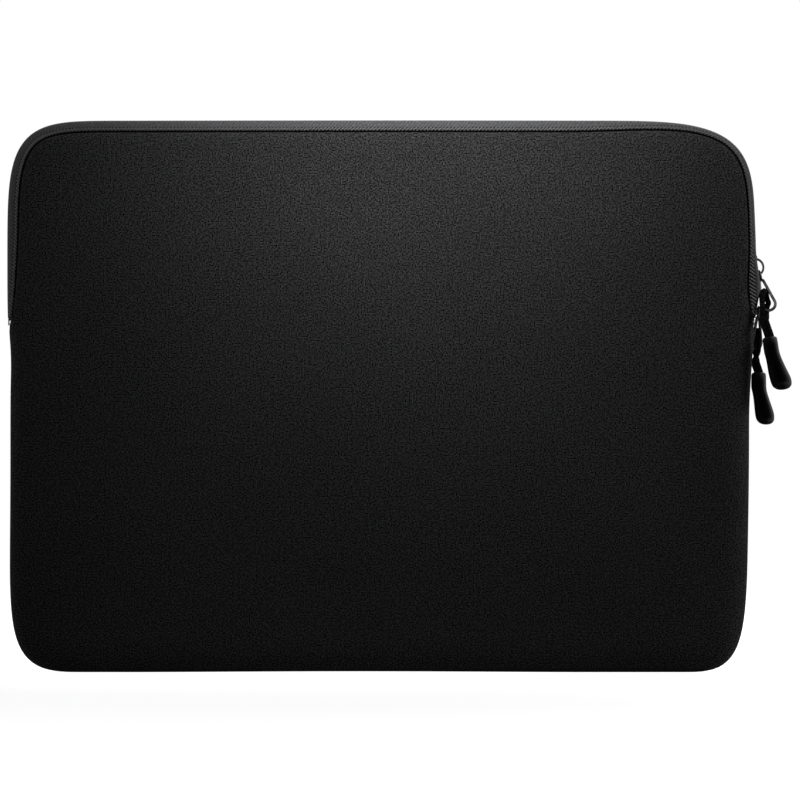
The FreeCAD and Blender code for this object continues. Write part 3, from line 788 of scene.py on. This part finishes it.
for side_name, way in (("left", -1), ("right", 1)):
    side = OUTLINE[(OUTLINE[:, 0] * way > 0)]
    nearest = side[int(np.argmin(np.abs(side[:, 1] - (ZIP_END - 1))))]
    end_tack(f"{side_name}_end_tack", float(nearest[0]), way)
    stop_crimp(f"{side_name}_stop_crimp", float(nearest[0]), way, f"{side_name}_zip_stop")

# ---- sliders, bridges and rings keep their solids

for node, material in (
    ("slider_1", SLIDER_METAL), ("slider_2", SLIDER_METAL),
    ("bridge_1", SLIDER_METAL), ("bridge_2", SLIDER_METAL),
    ("ring_1", RING_METAL), ("ring_2", RING_METAL),
):
    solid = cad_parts[node]
    solid.data.materials.clear()
    solid.data.materials.append(material)

# ---- cords and grips

GRIP_FORM = [  # from the top down: distance, middle, half width, half depth
    (0.0, 0.0, 2.3, 1.9), (0.25, 0.0, 2.9, 2.5), (0.8, 0.0, 3.35, 2.95), (2.0, 0.0, 3.5, 3.15),
    (4.5, 0.0, 3.52, 3.2), (7.3, 0.05, 3.55, 3.2), (9.5, 0.6, 3.42, 3.15), (12.0, 1.3, 3.6, 3.1),
    (14.5, 1.95, 3.85, 3.1), (17.0, 2.5, 4.15, 3.1), (19.2, 2.95, 4.35, 3.1), (21.2, 3.2, 4.25, 3.0),
    (22.6, 3.4, 3.8, 2.75), (23.6, 3.55, 2.9, 2.2), (24.15, 3.6, 1.8, 1.4), (24.35, 3.6, 0.6, 0.5),
]


def moulded_grip(name, body, node, top, lean, broad):
    """The grip: a rounded bar that bends to a toe, its faces hollowed inside a raised rim."""
    form = np.array(GRIP_FORM)
    levels = np.concatenate([np.linspace(0, 1.2, 7), np.linspace(1.8, 21.4, 34), np.linspace(21.8, 24.35, 14)])
    rows = np.stack([np.interp(levels, form[:, 0], form[:, k]) for k in range(4)], 1)
    toe = smooth((levels - 6) / 10)
    rows[:, 0] += 2.2 * broad * toe
    rows[:, 1] -= broad * toe
    rows[:, 2] += broad * toe * rows[:, 2] / 4.3
    for _ in range(2):
        rows[8:-10, 1:] = (rows[7:-11, 1:] + 2 * rows[8:-10, 1:] + rows[9:-9, 1:]) / 4
    sides = 40
    verts, faces, uvs = [], [], []
    tilt = Matrix.Rotation(math.radians(lean), 4, "Y")
    for down, middle, half, deep in rows:
        for s in range(sides):
            turn = 2 * math.pi * s / sides
            c, d = math.cos(turn), math.sin(turn)
            x = math.copysign(abs(c) ** 0.62, c)
            y = math.copysign(abs(d) ** 0.62, d)
            hollow = float(smooth(np.array((0.78 - abs(x)) / 0.4))) * float(smooth(np.array((down - 1.2) / 3)))
            hollow *= float(smooth(np.array((23.2 - down) / 2.2)))
            depth = 0.45 + 0.55 * float(smooth(np.array((down - 9) / 8)))
            lower = y * (deep - hollow * depth)
            # The UVs carry the place across the grip and the hollow, from which the grip's material paints its
            # lighter right side and rim and the shade in its hollow.
            uvs.append((x, hollow))
            verts.append(Vector(top) * MM + tilt @ (Vector((middle + half * x, lower, -down)) * MM))
    total = len(rows)
    for r in range(total - 1):
        for s in range(sides):
            n = (s + 1) % sides
            faces.append([r * sides + s, (r + 1) * sides + s, (r + 1) * sides + n, r * sides + n])
    faces.append(list(range(sides)))
    faces.append([(total - 1) * sides + s for s in range(sides)][::-1])
    piece = add_mesh(name, verts, faces, uvs, GRIP)
    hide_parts(node)
    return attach(piece, body)


def strand_path(points, count):
    """A smooth line through the points."""
    points = np.array(points, float)
    padded = np.concatenate([[2 * points[0] - points[1]], points, [2 * points[-1] - points[-2]]])
    line = []
    for k in range(len(points) - 1):
        p0, p1, p2, p3 = padded[k:k + 4]
        for t in np.linspace(0, 1, 12, endpoint=False):
            line.append(0.5 * (2 * p1 + (p2 - p0) * t + (2 * p0 - 5 * p1 + 4 * p2 - p3) * t * t
                               + (3 * p1 - p0 - 3 * p2 + p3) * t ** 3))
    line.append(points[-1])
    return resample(np.array(line), count)


def tube(line, radius, sides=14):
    """The points, faces and UVs of a round cord along a line."""
    ahead = np.gradient(line, axis=0)
    ahead /= np.linalg.norm(ahead, axis=1)[:, None]
    side = np.cross(ahead[0], [0.3, 1, 0.1])
    verts, uvs, faces = [], [], []
    along = 0.0
    for k, (point, way) in enumerate(zip(line, ahead)):
        side = side - way * np.dot(side, way)
        side /= np.linalg.norm(side)
        other = np.cross(way, side)
        if k:
            along += float(np.linalg.norm(line[k] - line[k - 1]))
        for s in range(sides):
            turn = 2 * math.pi * s / sides
            verts.append(point + (side * math.cos(turn) + other * math.sin(turn)) * radius)
            uvs.append((along * MM, 2 * math.pi * radius * MM * s / sides))
    for k in range(len(line) - 1):
        for s in range(sides):
            n = (s + 1) % sides
            faces.append([k * sides + s, k * sides + n, (k + 1) * sides + n, (k + 1) * sides + s])
    faces.append(list(range(sides))[::-1])
    faces.append([(len(line) - 1) * sides + s for s in range(sides)])
    return verts, faces, uvs


def doubled_cord(name, number, route, radius):
    """The one cord of a pull, which goes up one side of the ring's wire, over, and down the other side."""
    verts, faces, uvs = tube(strand_path(route, 130), radius)
    piece = add_mesh(name, np.array(verts) * MM, faces, uvs, CORD)
    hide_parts(f"cord_{number}_hitch", f"cord_{number}_tail")
    return piece


def place_on(base, side, front, up, x, y, z):
    return [base[k] + side[k] * x + front[k] * y + up[k] * z for k in range(3)]


PULLS = {
    1: {
        "wire": (180.73, -6.80, 171.01), "side": (0.9993, -0.0144, -0.0339), "front": (0, 0.9202, -0.3914),
        "up": (0.0369, 0.3912, 0.9196), "bend": (180.50, -9.23, 165.31), "grip": (182.90, -9.23, 158.11),
        "lean": -8.0, "rise": 7.2, "eye": (-1.3, 1.85), "broad": 0.55, "thick": 1.3,
    },
    2: {
        "wire": (177.38, 2.46, 151.89), "side": (0.6421, 0.7631, 0.0733), "front": (-0.7652, 0.6321, 0.1224),
        "up": (0.0471, -0.1347, 0.9898), "bend": (177.09, 3.30, 145.75), "grip": (178.50, 3.30, 141.45),
        "lean": 0.0, "rise": 7.4, "eye": (-1.0, 1.5), "broad": 0.15, "thick": 1.15,
    },
}

for number, pull in PULLS.items():
    def local(x, y, z):
        return place_on(pull["wire"], pull["side"], pull["front"], pull["up"], x, y, z)

    def strand(way, eye, ease):
        """One strand on its side of the wire, from inside the grip up to the top of the eye."""
        inside = [grip_top[0], grip_top[1], grip_top[2] - 2.2]
        return [[x + way, y, z] for x, y, z in (inside, grip_top, bend)] + [
            local(way * 1.0, way * 0.2, -4.0),
            local(way * 1.0, way * 1.75, -0.9),
            local(eye + ease, way * 1.9, 1.9),
            local(eye, way * 1.9, rise - 3.0),
            local(eye + ease, way * 1.9, rise - 0.9),
            local(way * 0.6, way * 1.35, rise + 1.6),
        ]

    rise = pull["rise"]
    left, right = pull["eye"]
    bend = pull["bend"]
    grip_top = pull["grip"]
    route = strand(-1, left, 0.2) + [local(0, 0, rise + 2.15)] + strand(1, right, -0.7)[::-1]
    cord = doubled_cord(f"cord_{number}_braid", number, route, pull["thick"])
    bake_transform(cord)
    moulded_grip(
        f"grip_{number}_moulding", f"pull_{number}_body", f"grip_{number}",
        grip_top, pull["lean"], pull["broad"],
    )

# ---- floor, lights, camera


def seen_directly(tree):
    """1 for the rays that see the plain white background: from the camera, off gloss and through glass."""
    rays = tree.nodes.new("ShaderNodeLightPath")
    level = rays.outputs["Is Camera Ray"]
    for kind in ("Is Glossy Ray", "Is Transmission Ray"):
        either = tree.nodes.new("ShaderNodeMath")
        either.operation = "MAXIMUM"
        tree.links.new(level, either.inputs[0])
        tree.links.new(rays.outputs[kind], either.inputs[1])
        level = either.outputs[0]
    return level


floor = add_mesh("floor", [(-4, -4, 0), (4, -4, 0), (4, 4, 0), (-4, 4, 0)], [(0, 1, 2, 3)], smooth_shade=False)
floor_look = bpy.data.materials.new("pale_floor")
floor_look.use_nodes = True
tree = floor_look.node_tree
tree.nodes.clear()
output = tree.nodes.new("ShaderNodeOutputMaterial")
matt = tree.nodes.new("ShaderNodeBsdfDiffuse")
matt.inputs["Color"].default_value = (0.5, 0.5, 0.5, 1)
glow = tree.nodes.new("ShaderNodeEmission")
level = tree.nodes.new("ShaderNodeMath")
level.operation = "MULTIPLY"
spot = tree.nodes.new("ShaderNodeTexCoord")
far_off = tree.nodes.new("ShaderNodeVectorMath")
far_off.operation = "LENGTH"
glow_level = tree.nodes.new("ShaderNodeMapRange")
for socket, value in (("From Min", 0.35), ("From Max", 1.1), ("To Min", 0.90), ("To Max", 1.0)):
    glow_level.inputs[socket].default_value = value
tree.links.new(spot.outputs["Object"], far_off.inputs[0])
tree.links.new(far_off.outputs["Value"], glow_level.inputs["Value"])
tree.links.new(glow_level.outputs[0], level.inputs[1])
both = tree.nodes.new("ShaderNodeAddShader")
tree.links.new(seen_directly(tree), level.inputs[0])
tree.links.new(level.outputs[0], glow.inputs["Strength"])
tree.links.new(matt.outputs[0], both.inputs[0])
tree.links.new(glow.outputs[0], both.inputs[1])
tree.links.new(both.outputs[0], output.inputs["Surface"])
floor.data.materials.append(floor_look)

world = bpy.data.worlds.new("studio")
scene.world = world
world.use_nodes = True
tree = world.node_tree
tree.nodes.clear()
output = tree.nodes.new("ShaderNodeOutputWorld")
soft = tree.nodes.new("ShaderNodeBackground")
soft.inputs["Color"].default_value = (1, 1, 1, 1)
strength = tree.nodes.new("ShaderNodeMapRange")
strength.inputs["To Min"].default_value = 0.05
strength.inputs["To Max"].default_value = 1.0
tree.links.new(seen_directly(tree), strength.inputs["Value"])
tree.links.new(strength.outputs[0], soft.inputs["Strength"])
tree.links.new(soft.outputs[0], output.inputs["Surface"])


def lamp(name, place, target, size, power, spread=180):
    light = bpy.data.lights.new(name, "AREA")
    light.shape = "SQUARE"
    light.size = size
    light.energy = power
    light.spread = math.radians(spread)
    made = bpy.data.objects.new(name, light)
    made.location = place
    made.rotation_euler = (Vector(target) - Vector(place)).to_track_quat("-Z", "Y").to_euler()
    scene.collection.objects.link(made)


lamp("key", (0.021, -0.112, 0.341), (0.021, 0, 0.28), 0.20, 0.56, 125)
lamp("right_rim", (0.60, -0.05, 0.38), (0.18, 0, 0.15), 0.20, 0.26, 50)
lamp("left_rim", (-0.60, -0.04, 0.40), (-0.18, 0, 0.20), 0.20, 0.10, 50)
lamp("back", (0.3, 0.9, 0.8), (0, 0, 0.12), 0.7, 9.0)

SENSOR, DISTANCE, SPAN = 36, 3.0, 0.37696  # the span is the width in metres that the picture shows

lens = bpy.data.cameras.new("camera")
lens.sensor_width = SENSOR
lens.lens = SENSOR * DISTANCE / SPAN
lens.clip_end = 50
camera = bpy.data.objects.new("camera", lens)
camera.location = (0.0091, -3.004, 0.1284)
camera.rotation_euler = (math.radians(90), 0, 0)
scene.collection.objects.link(camera)
scene.camera = camera
scene.view_settings.view_transform = "Standard"
